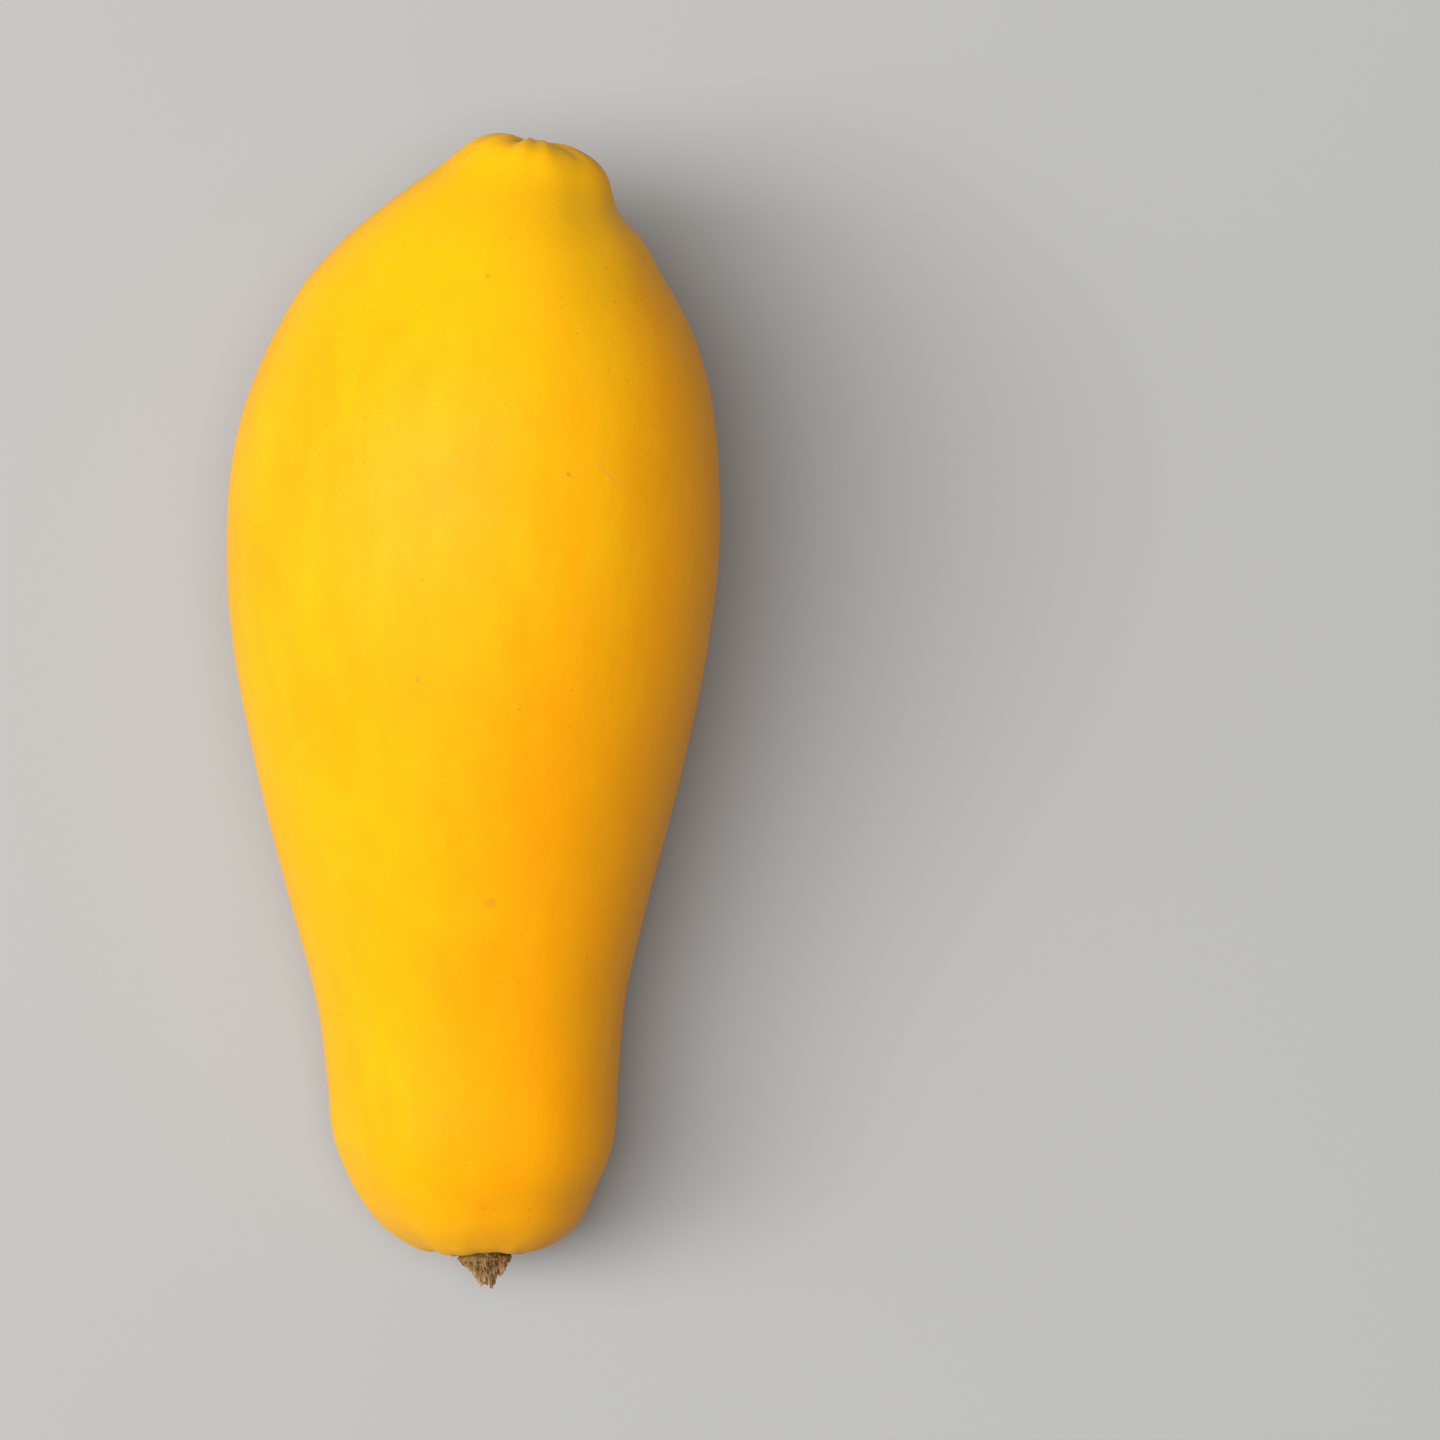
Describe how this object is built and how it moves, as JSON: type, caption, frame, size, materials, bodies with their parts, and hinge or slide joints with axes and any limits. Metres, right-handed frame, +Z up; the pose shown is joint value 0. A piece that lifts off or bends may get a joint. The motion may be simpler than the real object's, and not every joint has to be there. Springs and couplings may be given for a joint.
{
  "type": "papaya",
  "caption": "Ripe yellow pear-shaped papaya lying on its belly, with a dried calyx and torn stalk stub at the neck and a lobed blossom end.",
  "frame": {"origin": "middle of the small flat under the belly that the fruit rests on", "axes": "+Y along the fruit from the stem end to the blossom end, +Z up, +X towards the side that the blossom end leans to"},
  "size_m": [0.0813, 0.1914, 0.0795],
  "materials": {
    "skin": "satin",
    "husk": "matte",
    "stalk": "matte"
  },
  "bodies": {
    "root": {"fruit": "skin", "calyx": "husk", "stem": "stalk"}
  },
  "joints": []
}
